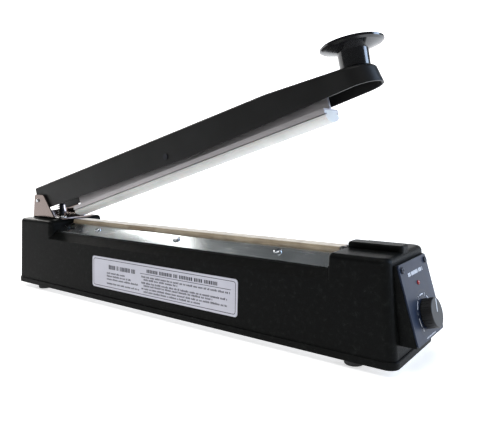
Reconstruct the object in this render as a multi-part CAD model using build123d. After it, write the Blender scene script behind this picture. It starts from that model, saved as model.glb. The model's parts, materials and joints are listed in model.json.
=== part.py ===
"""Impulse heat sealer, 300 mm seal, bench-top hand press.

Millimetres, +Z up, +X from the hinge towards the handle, -Y is the label side.
Origin: middle of the overall length and width, on the plane the four feet stand on.
The arm is drawn open at its sprung rest angle; it closes about the hinge pin (+Y axis).
"""
import os
from math import cos, radians, sin, tan

from build123d import *

# ---- main body ------------------------------------------------------------------------------
FOOT_H = 5.0             # rubber foot height below the housing rim
LEFT_X = -236.22         # where lengths along the body are measured from
BODY_X0, BODY_X1 = -4.7, 460.0         # ends of the rim
BODY_L = BODY_X1 - BODY_X0
BODY_MID = (BODY_X0 + BODY_X1) / 2
BODY_W = 79.7            # rim width
BODY_H = 75.0            # rim underside to block tops
RIM_H = 5.5              # height of the proud rim
RIM_STEP = 0.7           # how far the rim stands out from the walls
TOP_L0 = 2.4             # left wall lean over the full height
TOP_L1 = 7.3             # right wall lean
TOP_W = 70.1             # width across the block tops
CORNER_R = 7.0           # vertical corner radius
TOP_R = 4.0              # radius round the block tops
WALL = 2.5               # moulding wall thickness
RECESS_X0, RECESS_X1 = 62.0, 407.0     # sealing recess, measured from the left end
LEDGE_Z = 54.7           # front wall height along the recess
LEDGE_Y = 36.35          # half width at the ledge
SEAT_Y, SEAT_Z = 28.9, 61.7            # foot of the cover plate seat
SEAT_TOP_Y, SEAT_TOP_Z = 9.0, 69.15    # head of the cover plate seat
BAR_SLOT_Y, BAR_SLOT_Z = 6.6, 64.0     # slot the sealing bar stands in
PAD_X0, PAD_X1 = 408.0, 451.0          # raised cover over the element's right end
PAD_W, PAD_H = 14.0, 4.6
BLOCK_R0, BLOCK_R1 = 5.0, 2.0          # upright corners of the end blocks at the recess
BLOCK_EDGE = 8.0         # those corners are longer than this
BOSS_X = (22.0, 112.0, 230.0, 352.0, 438.0)   # base plate screw bosses along the body
BOSS_Y = 27.0
PLATE_SEAT = 2.0         # base plate sits this far up inside the rim
BASE_T = 1.2

# ---- sealing line ---------------------------------------------------------------------------
PLATE_T = 1.2            # cover plate thickness
PLATE_Y0, PLATE_Y1 = 27.4, 8.6         # outer and inner edges of a cover plate
PLATE_X0, PLATE_X1 = 63.0, 405.0
PLATE_SCREW_X = (122.0, 238.0, 352.0)
PLATE_SCREW_Y = 16.5
BAR_Y = 6.0              # sealing bar half width
BAR_TOP = 73.9
BAR_X0, BAR_X1 = 66.0, 403.0
INSUL_T = 0.4            # woven glass strip under the element
ELEM_T, ELEM_W = 0.2, 3.0              # heating ribbon
CLOTH_T = 0.15           # PTFE cloth
CLOTH_Y = 7.5            # cloth half width over the bar
CLOTH_DROP = 4.6         # skirt depth
CLOTH_X0, CLOTH_X1 = 66.0, 402.0
LEG_X = (64.4, 404.6)     # ribbon legs, down past the bar's ends

# ---- hinge and arm --------------------------------------------------------------------------
HINGE_X, HINGE_Z = 16.2, 94.85         # pin centre from the left end and the rim underside
PIN_R = 2.0
ARM_OPEN = 14.15         # arm angle at rest
ARM_W = 35.0             # outside width of the channel
ARM_T = 1.4              # sheet thickness
ARM_UP, ARM_DOWN = 16.5, 11.5          # channel top and lower edge from the pin
ARM_BACK = 5.6           # channel end behind the pin
ARM_LEN = 430.0          # pin to the round end, at the lower edge
ARM_KINK = 337.4         # the top bends down from here
KINK_ANGLE = 3.25
TAPER_X, TAPER_ANGLE = 241.0, 2.83     # the lower edge rises from here
EAR_IN, EAR_T = 18.8, 1.6              # hinge ear inner face and thickness
PLATE_END = 62.0         # bracket foot length from the left end
FIT = 0.05               # running clearance on a radius

# ---- pressure bar ---------------------------------------------------------------------------
ROCK_S, ROCK_Z = 217.84, -3.46         # rocking pin in the arm's own axes
ROCK_R = 2.0
BAR_OPEN = 15.8          # pressure bar angle at rest
PRESS_HALF = 165.5       # half length
FLANGE_Y, FLANGE_T = 11.5, 1.2
FLANGE_TOP, LIP_END = -10.5, -14.6     # below the rocking pin
RUBBER_END = -21.1
WEB_T, WEB_TOP = 2.4, 5.0

# ---- handle ---------------------------------------------------------------------------------
HANDLE_S = 410.2         # along the arm
HANDLE_R, NECK_R = 23.8, 11.4
HANDLE_H = 21.0

# ---- control panel --------------------------------------------------------------------------
PANEL_TOP = (455.5, 70.0)              # panel face, top edge (x, z)
PANEL_FOOT = (471.0, 15.0)             # panel face, bottom edge
PANEL_W = 54.0
PANEL_T = 1.2
KNOB_V = 17.4            # knob centre above the panel's foot
KNOB_R, KNOB_H, KNOB_GAP = 10.8, 7.8, 0.6
DIAL_R = 14.0            # printed arcs and numbers round the knob
KNOB_REST = 18.0         # pointer at rest, clockwise from straight up
LED_V = 40.0
LED_R = 1.6
PANEL_SCREW_V, PANEL_SCREW_Y = 52.8, 22.5

# ---- switch gear ----------------------------------------------------------------------------
PLUNGER_X = 32.0         # plunger axis from the left end
PLUNGER_R = 2.4
PLUNGER_GAP = 0.3
DOME_R = 4.0
SEAT_E = -2.0            # spring seat face from the pin, in the arm's axes

BEND_R = 5.0             # bend radius of the internal leads

BOTTOM = (Align.CENTER, Align.CENTER, Align.MIN)
TOP = (Align.CENTER, Align.CENTER, Align.MAX)


def bx(x):
    """Length from the left end to the model's x."""
    return LEFT_X + x


def bz(z):
    """Height from the rim underside to the model's z."""
    return FOOT_H + z


def block(x0, x1, y0, y1, z0, z1):
    """Box between two corners, x and z measured on the body."""
    size = (x1 - x0, y1 - y0, z1 - z0)
    return Pos(bx((x0 + x1) / 2), (y0 + y1) / 2, bz((z0 + z1) / 2)) * Box(*size)


def slab(x0, x1, y0, y1, z0, z1):
    """Box between two corners in a part's own axes."""
    return Pos((x0 + x1) / 2, (y0 + y1) / 2, (z0 + z1) / 2) * Box(x1 - x0, y1 - y0, z1 - z0)


def rod_z(x, y, z0, z1, r):
    """Upright cylinder, x and z measured on the body."""
    return Pos(bx(x), y, bz(z0)) * Cylinder(r, z1 - z0, align=BOTTOM)


def rod_y(x, z, y0, y1, r):
    """Cylinder across the body in the arm's or bar's own axes."""
    return Pos(x, (y0 + y1) / 2, z) * Rot(90, 0, 0) * Cylinder(r, y1 - y0)


def prism_x(points, x0, x1):
    """Polygon in (y, z) drawn out along x, all on the body."""
    face = make_face(Polyline(*[(y, bz(z)) for y, z in points], close=True))
    return Pos(bx(x0), 0, 0) * extrude(Plane.YZ * face, x1 - x0)


def prism_y(points, y0, y1):
    """Polygon in (x, z) drawn out along y."""
    face = make_face(Polyline(*points, close=True))
    return Pos(0, y1, 0) * extrude(Plane.XZ * face, y1 - y0)


def mirrored(points):
    """Half outline plus its mirror image in y."""
    return points + [(-y, z) for y, z in reversed(points)]


def screw(d, length, head_d, head_h):
    """Pan-head screw with a cross recess, its head above the origin."""
    head = Cylinder(head_d / 2, head_h, align=BOTTOM)
    head = fillet(head.faces().sort_by(Axis.Z)[-1].edges(), head_h * 0.55)
    cross_l, cross_w, deep = head_d * 0.55, head_d * 0.12, head_h * 0.55
    cross = Box(cross_l, cross_w, deep, align=TOP) + Box(cross_w, cross_l, deep, align=TOP)
    return head - Pos(0, 0, head_h) * cross + Cylinder(d / 2, length, align=TOP)


def several(shapes):
    """Separate solids kept in one node."""
    return Compound(children=[s for shape in shapes for s in shape.solids()])


def wire(points, r):
    """Round lead through the given body points."""
    path = FilletPolyline(*[(bx(x), y, bz(z)) for x, y, z in points], radius=BEND_R)
    section = Plane(origin=path @ 0, z_dir=path % 0) * Circle(r)
    return sweep(section, path)


def on_arm(shape):
    """Put a shape drawn about the hinge pin onto the open arm."""
    return Pos(bx(HINGE_X), 0, bz(HINGE_Z)) * Rot(0, -ARM_OPEN, 0) * shape


def on_bar(shape):
    """Put a shape drawn about the rocking pin onto the pressure bar."""
    return on_arm(Pos(ROCK_S, 0, ROCK_Z) * Rot(0, ARM_OPEN - BAR_OPEN, 0) * shape)


def wall_y(z):
    """Half width of the main wall at a height on the body."""
    foot = BODY_W / 2 - RIM_STEP
    return foot + (TOP_W / 2 - foot) * z / BODY_H


# ---- housing --------------------------------------------------------------------------------
def tapered(inset, z0, z1):
    """Tapered body solid, its walls set in by a distance."""
    def outline(z):
        x0 = BODY_X0 + RIM_STEP + TOP_L0 * z / BODY_H + inset
        x1 = BODY_X1 - RIM_STEP - TOP_L1 * z / BODY_H - inset
        width = 2 * (wall_y(z) - inset)
        place = Plane.XY.offset(bz(z)) * Pos(bx((x0 + x1) / 2), 0, 0)
        return place * RectangleRounded(x1 - x0, width, CORNER_R - min(inset, 3.0))
    return loft([outline(z0), outline(z1)])


RECESS_TOP = 95.0        # cutting tools run up to here
recess = prism_x(mirrored([
    (-50, RECESS_TOP), (-50, LEDGE_Z), (-LEDGE_Y, LEDGE_Z), (-SEAT_Y, SEAT_Z),
    (-SEAT_TOP_Y, SEAT_TOP_Z), (-BAR_SLOT_Y, SEAT_TOP_Z), (-BAR_SLOT_Y, BAR_SLOT_Z),
]), RECESS_X0, RECESS_X1)
recess_skin = prism_x(mirrored([
    (-50, RECESS_TOP), (-50, LEDGE_Z - WALL), (-LEDGE_Y + 1.4, LEDGE_Z - WALL),
    (-SEAT_Y + 1.6, SEAT_Z - WALL), (-12, BAR_SLOT_Z - WALL),
]), RECESS_X0 - WALL, RECESS_X1 + WALL)

shell = tapered(0, 0, BODY_H)
shell = fillet(shell.faces().sort_by(Axis.Z)[-1].edges(), TOP_R) - recess
for x, r in ((RECESS_X0, BLOCK_R0), (RECESS_X1, BLOCK_R1)):
    shell = fillet([e for e in shell.edges() if e.length > BLOCK_EDGE
                    and abs(e.center().X - bx(x)) < 0.1 and abs(e.center().Y) > SEAT_Y + 4], r)
cavity = tapered(WALL, 0, BODY_H - WALL) - recess_skin
for x in BOSS_X:
    for y in (-BOSS_Y, BOSS_Y):
        cavity -= rod_z(x, y, PLATE_SEAT + BASE_T, BODY_H, 4.0)

rim = Pos(bx(BODY_MID), 0, FOOT_H) * extrude(
    RectangleRounded(BODY_L, BODY_W, CORNER_R + RIM_STEP), RIM_H)
rim = chamfer(rim.faces().sort_by(Axis.Z)[-1].edges(), RIM_STEP * 0.8)

pad = block(PAD_X0, PAD_X1, -PAD_W / 2, PAD_W / 2, BODY_H - 2, BODY_H + PAD_H)
pad = fillet(pad.edges().filter_by(Axis.Z), 3.0)
pad = fillet(pad.faces().sort_by(Axis.Z)[-1].edges(), 1.8)
pad_hollow = block(PAD_X0 + 2, PAD_X1 - 2, -PAD_W / 2 + 2, PAD_W / 2 - 2,
                   BODY_H - WALL - 1, BODY_H + PAD_H - 1.8)

# panel wedge: solid outline, then its hollow
panel_tilt = Vector(PANEL_TOP[0] - PANEL_FOOT[0], 0, PANEL_TOP[1] - PANEL_FOOT[1])
PANEL_LEN = panel_tilt.length
panel_up = panel_tilt.normalized()
panel_out = Vector(panel_up.Z, 0, -panel_up.X)
panel_foot = Vector(bx(PANEL_FOOT[0]), 0, bz(PANEL_FOOT[1]))
panel_plane = Plane(origin=panel_foot - panel_out * PANEL_T, x_dir=(0, 1, 0), z_dir=panel_out)


def on_panel(shape, v=0.0, y=0.0):
    """Put a shape on the wedge face, v up from its foot; local z points out of the panel."""
    return panel_plane.location * Pos(y, v, 0) * shape


def wedge(face_inset, side_inset, end_inset, back):
    """Wedge behind the panel face, shrunk for the hollow."""
    face = panel_plane.offset(-face_inset)
    foot = face.origin + panel_up * end_inset
    head = face.origin + panel_up * (PANEL_LEN - end_inset)
    half = PANEL_W / 2 + 0.6 - side_inset
    return prism_y([(bx(back), head.Z), (head.X, head.Z), (foot.X, foot.Z), (bx(back), foot.Z)],
                   -half, half)


POT_R = 4.0              # bushing hole

housing = shell + rim + pad - cavity
housing += wedge(0, 0, 0, BODY_X1 - TOP_L1 - WALL + 1) - cavity
housing -= wedge(WALL, WALL, WALL, BODY_X1 - TOP_L1 - WALL - 3)
housing -= Pos(bx(BODY_MID), 0, FOOT_H) * extrude(
    RectangleRounded(BODY_L - 5, BODY_W - 5, CORNER_R - 1.5), PLATE_SEAT + BASE_T)
housing -= pad_hollow

for x in BOSS_X:
    for y in (-BOSS_Y, BOSS_Y):
        housing -= rod_z(x, y, PLATE_SEAT + BASE_T - 1, PLATE_SEAT + BASE_T + 14, 1.55)

# ribbon slots in the bar slot's floor, plunger hole, cover plate and bracket screw holes
ELEM_Z = BAR_TOP + INSUL_T
for x in LEG_X:
    housing -= block(x - 0.9, x + 0.9, -2.6, 2.6, BAR_SLOT_Z - WALL - 2, BAR_SLOT_Z + 1)
housing -= rod_z(PLUNGER_X, 0, BODY_H - WALL - 2, BODY_H + 1, PLUNGER_R + FIT)

seat_slope = (SEAT_TOP_Z - SEAT_Z) / (SEAT_Y - SEAT_TOP_Y)
SEAT_DEG = Vector(1, 0, seat_slope).get_angle(Vector(1, 0, 0))


def seat_z(y):
    """Cover plate seat height at a half width."""
    return SEAT_Z + (SEAT_Y - abs(y)) * seat_slope


def on_seat(shape, x, y):
    """Stand a shape on the sloping seat, its axis square to the seat."""
    tip = SEAT_DEG if y < 0 else -SEAT_DEG
    return Pos(bx(x), y, bz(seat_z(y))) * Rot(tip, 0, 0) * shape


seat_holes = [on_seat(Pos(0, 0, -4.4) * Cylinder(1.3, 9), x, y)
              for x in PLATE_SCREW_X for y in (-PLATE_SCREW_Y, PLATE_SCREW_Y)]
housing -= seat_holes

BRACKET_SCREWS = [(9.6, -8.0), (9.6, 8.0), (55.0, -13.0), (55.0, 13.0)]
for x, y in BRACKET_SCREWS:
    housing -= rod_z(x, y, BODY_H - WALL - 1, BODY_H + 1, 1.55)

# panel holes
housing -= on_panel(Cylinder(POT_R, 12), KNOB_V)
housing -= on_panel(Cylinder(LED_R + FIT, 12), LED_V)
for y in (-PANEL_SCREW_Y, PANEL_SCREW_Y):
    housing -= on_panel(Cylinder(1.05, 10), PANEL_SCREW_V, y)

# cord gland hole, low in the rear wall by the hinge end
GLAND_X, GLAND_Z, GLAND_R = 30.0, 22.0, 5.0
housing -= Pos(bx(GLAND_X), wall_y(GLAND_Z), bz(GLAND_Z)) * Rot(90, 0, 0) * Cylinder(GLAND_R, 12)

# ---- base plate and feet --------------------------------------------------------------------
FOOT_X = (35.0, 425.0)
FOOT_Y = 29.0
FOOT_R = 8.0
base_z = PLATE_SEAT
base_plate = Pos(bx(BODY_MID), 0, bz(base_z)) * extrude(
    RectangleRounded(BODY_L - 6, BODY_W - 6, CORNER_R - 2), BASE_T)
for x in BOSS_X:
    for y in (-BOSS_Y, BOSS_Y):
        base_plate -= rod_z(x, y, 0, 5, 1.75)
for x in FOOT_X:
    for y in (-FOOT_Y, FOOT_Y):
        base_plate -= rod_z(x, y, 0, 5, 1.75)

base_screws = several([Pos(bx(x), y, bz(base_z)) * Rot(180, 0, 0) * screw(2.9, 12, 5.6, 1.8)
                       for x in BOSS_X for y in (-BOSS_Y, BOSS_Y)])


def foot_body():
    """Rubber foot with a screw well, its top on the base plate."""
    body = Cone(FOOT_R - 0.8, FOOT_R, FOOT_H + base_z, align=BOTTOM)
    body = fillet(body.faces().sort_by(Axis.Z)[0].edges(), 1.0)
    body -= Cylinder(3.4, 3.0, align=BOTTOM)
    return body - Cylinder(1.75, FOOT_H + base_z, align=BOTTOM)


foot_at = [Pos(bx(x), y, 0) for x in FOOT_X for y in (-FOOT_Y, FOOT_Y)]
feet = several([at * foot_body() for at in foot_at])
foot_screws = several([at * Pos(0, 0, 3.0) * Rot(180, 0, 0) * screw(3.3, 8, 6.0, 2.0)
                       for at in foot_at])

# ---- cover plates ---------------------------------------------------------------------------
def cover_plate(side):
    """Sloping polished plate beside the sealing bar; side is -1 at the front."""
    width = (PLATE_Y0 - PLATE_Y1) / cos(radians(SEAT_DEG))
    middle = ((PLATE_X0 + PLATE_X1) / 2, side * (PLATE_Y0 + PLATE_Y1) / 2)
    sheet = extrude(RectangleRounded(PLATE_X1 - PLATE_X0, width, 4.0), PLATE_T)
    slot = on_seat(Box(12, 3.4, 6), PLATE_X0 + 14, side * 19)
    holes = [on_seat(Cylinder(1.65, 6), x, side * PLATE_SCREW_Y) for x in PLATE_SCREW_X]
    return on_seat(sheet, *middle) - slot - holes


front_cover_plate = cover_plate(-1)
rear_cover_plate = cover_plate(1)
cover_plate_screws = several([
    on_seat(Pos(0, 0, PLATE_T) * screw(2.5, 5.5, 7.0, 1.9), x, y)
    for x in PLATE_SCREW_X for y in (-PLATE_SCREW_Y, PLATE_SCREW_Y)])

# ---- sealing bar, element, cloth ------------------------------------------------------------
sealing_bar = block(BAR_X0, BAR_X1, -BAR_Y, BAR_Y, BAR_SLOT_Z, BAR_TOP)
sealing_bar = fillet(sealing_bar.faces().sort_by(Axis.Z)[-1].edges().filter_by(Axis.X), 1.2)
BAR_SCREW_X = (90.0, 190.0, 290.0, 385.0)
for x in BAR_SCREW_X:
    sealing_bar -= rod_z(x, 0, BAR_SLOT_Z - 1, BAR_SLOT_Z + 6, 1.55)
    housing -= rod_z(x, 0, BAR_SLOT_Z - 12, BAR_SLOT_Z + 1, 1.75)
bar_screws = several([
    Pos(bx(x), 0, bz(BAR_SLOT_Z - WALL)) * Rot(180, 0, 0) * screw(3.0, 7.5, 5.5, 1.8)
    for x in BAR_SCREW_X])
insulation_strip = block(BAR_X0 + 3, BAR_X1 - 2, -BAR_Y + 1.3, BAR_Y - 1.3, BAR_TOP,
                         BAR_TOP + INSUL_T)
heating_element = block(LEG_X[0], LEG_X[1], -ELEM_W / 2, ELEM_W / 2, ELEM_Z, ELEM_Z + ELEM_T)

cloth_top = ELEM_Z + ELEM_T + 0.05 + CLOTH_T
cloth_outer = block(CLOTH_X0, CLOTH_X1, -CLOTH_Y, CLOTH_Y, cloth_top - CLOTH_DROP, cloth_top)
cloth_outer = fillet(cloth_outer.faces().sort_by(Axis.Z)[-1].edges().filter_by(Axis.X), 1.3)
cloth_inner = block(CLOTH_X0 - 1, CLOTH_X1 + 1, -CLOTH_Y + CLOTH_T, CLOTH_Y - CLOTH_T,
                    cloth_top - CLOTH_DROP - 1, cloth_top - CLOTH_T)
cloth_inner = fillet(cloth_inner.faces().sort_by(Axis.Z)[-1].edges().filter_by(Axis.X),
                     1.3 - CLOTH_T)
ptfe_cloth = cloth_outer - cloth_inner

CLAMP_TOP, CLAMP_H = 55.5, 9.0          # brass clamp blocks under the bar slot
POST_TOP = BAR_SLOT_Z - WALL
clamps, posts, clamp_screw_list = [], [], []
for x, way in zip(LEG_X, (1, -1)):
    leg = x + way * ELEM_T
    far = leg + way * 8.0
    x0, x1 = min(leg, far), max(leg, far)
    heating_element += block(min(x, leg), max(x, leg), -ELEM_W / 2, ELEM_W / 2,
                             CLAMP_TOP - CLAMP_H, ELEM_Z + ELEM_T)
    clamp_z = CLAMP_TOP - CLAMP_H / 2
    turn = Pos(bx(x), 0, bz(clamp_z)) * Rot(0, -90 * way, 0)
    hole = turn * Cylinder(1.05, 30)
    heating_element -= hole
    clamps.append(block(x0, x1, -4, 4, CLAMP_TOP - CLAMP_H, CLAMP_TOP) - hole)
    posts.append(block(x0, x1, -5, 5, CLAMP_TOP, POST_TOP))
    clamp_screw_list.append(turn * screw(2.0, 7, 3.8, 1.2))
element_clamps = several(clamps)
clamp_posts = several(posts)
clamp_screws = several(clamp_screw_list)

# ---- hinge bracket --------------------------------------------------------------------------
EAR_FOOT = (4.6, 47.5)   # ear width at the foot
EAR_HEAD = (9.6, 27.0)   # ear width at the head
EAR_TOP = 101.7
PLATE_TOP = BODY_H + EAR_T
ear_outline = [(bx(x), bz(z)) for x, z in (
    (EAR_FOOT[0], BODY_H), (EAR_FOOT[1], BODY_H), (EAR_HEAD[1], EAR_TOP), (EAR_HEAD[0], EAR_TOP))]


def ear(y0, y1):
    """One upright ear with rounded corners."""
    body = prism_y(ear_outline, y0, y1)
    head = body.edges().filter_by(Axis.Y).sort_by(Axis.Z)[-2:]
    return fillet(head, 3.0)


EAR_OUT = EAR_IN + EAR_T
BEND_IN, BEND_OUT = 1.8, 1.4           # radii of the bracket's bends


def along_ears(body, half_width, z):
    """Edges that run along the body at a half width and a height."""
    return [e for e in body.edges().filter_by(Axis.X)
            if abs(abs(e.center().Y) - half_width) < 0.01 and abs(e.center().Z - bz(z)) < 0.01]


hinge_bracket = block(EAR_FOOT[0], PLATE_END, -EAR_OUT, EAR_OUT, BODY_H, PLATE_TOP)
hinge_bracket += ear(-EAR_OUT, -EAR_IN) + ear(EAR_IN, EAR_OUT)
hinge_bracket = fillet(along_ears(hinge_bracket, EAR_IN, PLATE_TOP), BEND_IN)
hinge_bracket = fillet(along_ears(hinge_bracket, EAR_OUT, BODY_H), BEND_OUT)
REST_LIP_X, REST_LIP_TOP = 12.6, 81.7   # the open arm rests on this lip
rest_lip = block(REST_LIP_X, REST_LIP_X + EAR_T, -17.4, 17.4, BODY_H, REST_LIP_TOP)


def finger(x, y, height, lean):
    """Narrow tab bent up from the bracket; its tip leans back towards the hinge."""
    foot, tip = bz(BODY_H + 0.4), bz(BODY_H + height)
    middle, bow = (foot + tip) / 2, lean * 0.72
    outline = make_face(
        ThreePointArc((bx(x), foot), (bx(x - bow), middle), (bx(x - lean), tip))
        + Line((bx(x - lean), tip), (bx(x - lean - FINGER_T), tip))
        + ThreePointArc((bx(x - lean - FINGER_T), tip), (bx(x - bow - FINGER_T), middle),
                        (bx(x - FINGER_T), foot))
        + Line((bx(x - FINGER_T), foot), (bx(x), foot)))
    return Pos(0, y + FINGER_W / 2, 0) * extrude(Plane.XZ * outline, FINGER_W)


FINGER_T, FINGER_W = 1.4, 1.8
FINGERS = ((50.4, -5.2, 15.0, 4.7), (61.0, 10.0, 6.5, 2.4))     # x, y, height, lean
hinge_bracket += [rest_lip] + [finger(*place) for place in FINGERS]
hinge_bracket -= rod_z(PLUNGER_X, 0, BODY_H - 1, PLATE_TOP + 1, PLUNGER_R + 0.6)
for x, y in BRACKET_SCREWS:
    hinge_bracket -= rod_z(x, y, BODY_H - 1, PLATE_TOP + 1, 1.75)
pin_hole = Pos(bx(HINGE_X), 0, bz(HINGE_Z)) * rod_y(0, 0, -30, 30, PIN_R + 0.02)
hinge_bracket -= pin_hole
bracket_screws = several([Pos(bx(x), y, bz(PLATE_TOP)) * screw(3.0, 8, 6.0, 1.9)
                          for x, y in BRACKET_SCREWS])

PIN_END = EAR_OUT + 1.8
hinge_pin = rod_y(0, 0, -PIN_END, PIN_END, PIN_R)
hinge_pin = chamfer(hinge_pin.edges().filter_by(GeomType.CIRCLE), 0.5)
hinge_pin = Pos(bx(HINGE_X), 0, bz(HINGE_Z)) * hinge_pin


def spacer(y0, y1):
    """Plain washer between the arm's wall and the ear."""
    return rod_y(0, 0, y0, y1, 4.2) - rod_y(0, 0, y0 - 1, y1 + 1, PIN_R + 0.02)


WASHER_IN = ARM_W / 2 + 0.1
pin_washers = several([Pos(bx(HINGE_X), 0, bz(HINGE_Z)) * spacer(*span)
                       for span in ((-EAR_IN, -WASHER_IN), (WASHER_IN, EAR_IN))])

# ---- arm ------------------------------------------------------------------------------------
FLARE = 3.2              # the round end leans out by this much from top to rim
ARM_IN = ARM_W / 2 - ARM_T
kink_drop = tan(radians(KINK_ANGLE))
taper_rise = tan(radians(TAPER_ANGLE))


def arm_plan(inset, back):
    """Channel body in plan: round handle end that leans outwards towards its rim."""
    half = ARM_W / 2 - inset
    centre = ARM_LEN - ARM_W / 2
    low = Plane.XY.offset(-ARM_DOWN) * Pos(centre, 0, 0) * Circle(half)
    high = Plane.XY.offset(ARM_UP) * Pos(centre - 2 * FLARE, 0, 0) * Circle(half)
    straight = prism_y([(-back, -ARM_DOWN), (centre, -ARM_DOWN),
                        (centre - 2 * FLARE, ARM_UP), (-back, ARM_UP)], -half, half)
    return straight + loft([low, high])


def arm_cut(inset):
    """Everything above the channel's bent top, to be removed."""
    end = ARM_LEN + 12
    drop = (end - ARM_KINK) * kink_drop
    return prism_y([(ARM_KINK, ARM_UP - inset), (end, ARM_UP - inset - drop), (end, ARM_UP + 9),
                    (-20, ARM_UP + 9), (-20, ARM_UP - inset)], -30, 30)


outer = arm_plan(0, ARM_BACK) - arm_cut(0)
top_edges = [e for f in outer.faces().filter_by(lambda f: f.normal_at().Z > 0.9)
             for e in f.edges()
             if abs(e.center().X - ARM_KINK) > 0.1 and e.center().X > -ARM_BACK + 0.1]
outer = fillet(top_edges, 2.8)
inner = arm_plan(ARM_T, ARM_BACK + 1) - arm_cut(ARM_T)
cut_end = ARM_LEN + 9
lower_cut = prism_y([(TAPER_X, -ARM_DOWN),
                     (cut_end, -ARM_DOWN + (cut_end - TAPER_X) * taper_rise),
                     (cut_end, -ARM_DOWN - 9), (TAPER_X, -ARM_DOWN - 9)], -30, 30)
arm = outer - inner - lower_cut
arm -= rod_y(0, 0, -30, 30, PIN_R + FIT)
arm -= rod_y(ROCK_S, ROCK_Z, -30, 30, ROCK_R + 0.02)
arm_top_at_handle = ARM_UP - (HANDLE_S - ARM_KINK) * kink_drop
handle_place = Pos(HANDLE_S, 0, arm_top_at_handle) * Rot(0, KINK_ANGLE, 0)
arm -= handle_place * Cylinder(2.7, 12)
arm = on_arm(arm)

seat_x0, seat_x1 = 8.0, 21.0
seat_half = ARM_IN - 0.02
spring_seat = slab(seat_x0, seat_x1, -seat_half, seat_half, SEAT_E, SEAT_E + ARM_T)
for side in (-1, 1):
    y0, y1 = sorted((side * seat_half, side * (seat_half - ARM_T)))
    spring_seat += slab(seat_x0, seat_x1, y0, y1, SEAT_E, SEAT_E + 9)
spring_seat = on_arm(spring_seat)

# ---- handle ---------------------------------------------------------------------------------
disc_z = HANDLE_H - 3.6
handle_profile = make_face(Polyline(
    (2.0, 0), (NECK_R - 0.5, 0), (NECK_R, 1.0), (NECK_R + 0.3, disc_z - 4.2),
    (HANDLE_R - 2, disc_z - 1.2), (HANDLE_R, disc_z), (HANDLE_R, disc_z + 1.4),
    (HANDLE_R - 1.2, disc_z + 2.2), (HANDLE_R - 6.4, disc_z + 2.6), (HANDLE_R - 7.2, HANDLE_H), (HANDLE_R - 8.6, HANDLE_H),
    (HANDLE_R - 9.4, HANDLE_H - 0.9), (0, HANDLE_H - 0.4), (0, 12), (2.0, 12), close=True))
handle_knob = revolve(Plane.XZ * handle_profile, Axis.Z)
handle_knob = on_arm(handle_place * handle_knob)
handle_screw = on_arm(handle_place * Pos(0, 0, -ARM_T) * Rot(180, 0, 0)
                      * screw(3.9, 11, 8.0, 2.4))

# ---- pressure bar ---------------------------------------------------------------------------
def along_bar(points):
    """Bar cross-section drawn out over the bar's length."""
    face = make_face(Polyline(*points, close=True))
    return Pos(-PRESS_HALF, 0, 0) * extrude(Plane.YZ * face, 2 * PRESS_HALF)


LIP = 1.3                # wall of the channel that grips the rubber
LIP_W = 3.4              # how far the channel's lips reach in
flange_low = FLANGE_TOP - FLANGE_T
pressure_bar = slab(-PRESS_HALF, PRESS_HALF, -WEB_T / 2, WEB_T / 2, FLANGE_TOP - 0.2, WEB_TOP)
pressure_bar += along_bar(mirrored([
    (-FLANGE_Y, FLANGE_TOP), (-FLANGE_Y, LIP_END), (-FLANGE_Y + LIP_W, LIP_END),
    (-FLANGE_Y + LIP_W, LIP_END + LIP), (-FLANGE_Y + LIP, LIP_END + LIP),
    (-FLANGE_Y + LIP, flange_low)]))
pressure_bar -= rod_y(0, 0, -9, 9, ROCK_R + FIT)
pressure_bar = on_bar(pressure_bar)

groove = 0.05
RUBBER_GAP = 0.6         # shadow gap between the lips and the rubber's shoulders
RUBBER_Y = FLANGE_Y - 0.8
NOSE_TOP = LIP_END - 2.0
head_y = FLANGE_Y - LIP - groove
neck_y = FLANGE_Y - LIP_W - groove
round_h = NOSE_TOP - RUBBER_END
rubber = along_bar(mirrored([
    (-head_y, flange_low - groove), (-head_y, LIP_END + LIP + groove),
    (-neck_y, LIP_END + LIP + groove), (-neck_y, LIP_END - RUBBER_GAP),
    (-RUBBER_Y, LIP_END - RUBBER_GAP), (-RUBBER_Y, NOSE_TOP)]))
rubber_nose = Ellipse(RUBBER_Y, round_h) - Pos(0, round_h) * Rectangle(3 * RUBBER_Y, 2 * round_h)
rubber_nose = Pos(0, NOSE_TOP) * rubber_nose
rubber += Pos(-PRESS_HALF, 0, 0) * extrude(Plane.YZ * rubber_nose, 2 * PRESS_HALF)
silicone_strip = on_bar(rubber)

rock_end = ARM_W / 2 + 0.9
rocking_pin = rod_y(0, 0, -rock_end + 0.9, rock_end - 0.9, ROCK_R)
for side in (-1, 1):
    y0, y1 = sorted((side * ARM_W / 2, side * rock_end))
    rocking_pin += rod_y(0, 0, y0, y1, ROCK_R + 0.8)
rocking_pin = on_arm(Pos(ROCK_S, 0, ROCK_Z) * rocking_pin)
gap_y0, gap_y1 = WEB_T / 2 + 0.3, ARM_IN - 0.05
pin_space = rod_y(0, 0, -30, 30, ROCK_R + 0.02)
rock_spacers = several([
    on_arm(Pos(ROCK_S, 0, ROCK_Z) * (rod_y(0, 0, y0, y1, 4.0) - pin_space))
    for y0, y1 in ((gap_y0, gap_y1), (-gap_y1, -gap_y0))])

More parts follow.
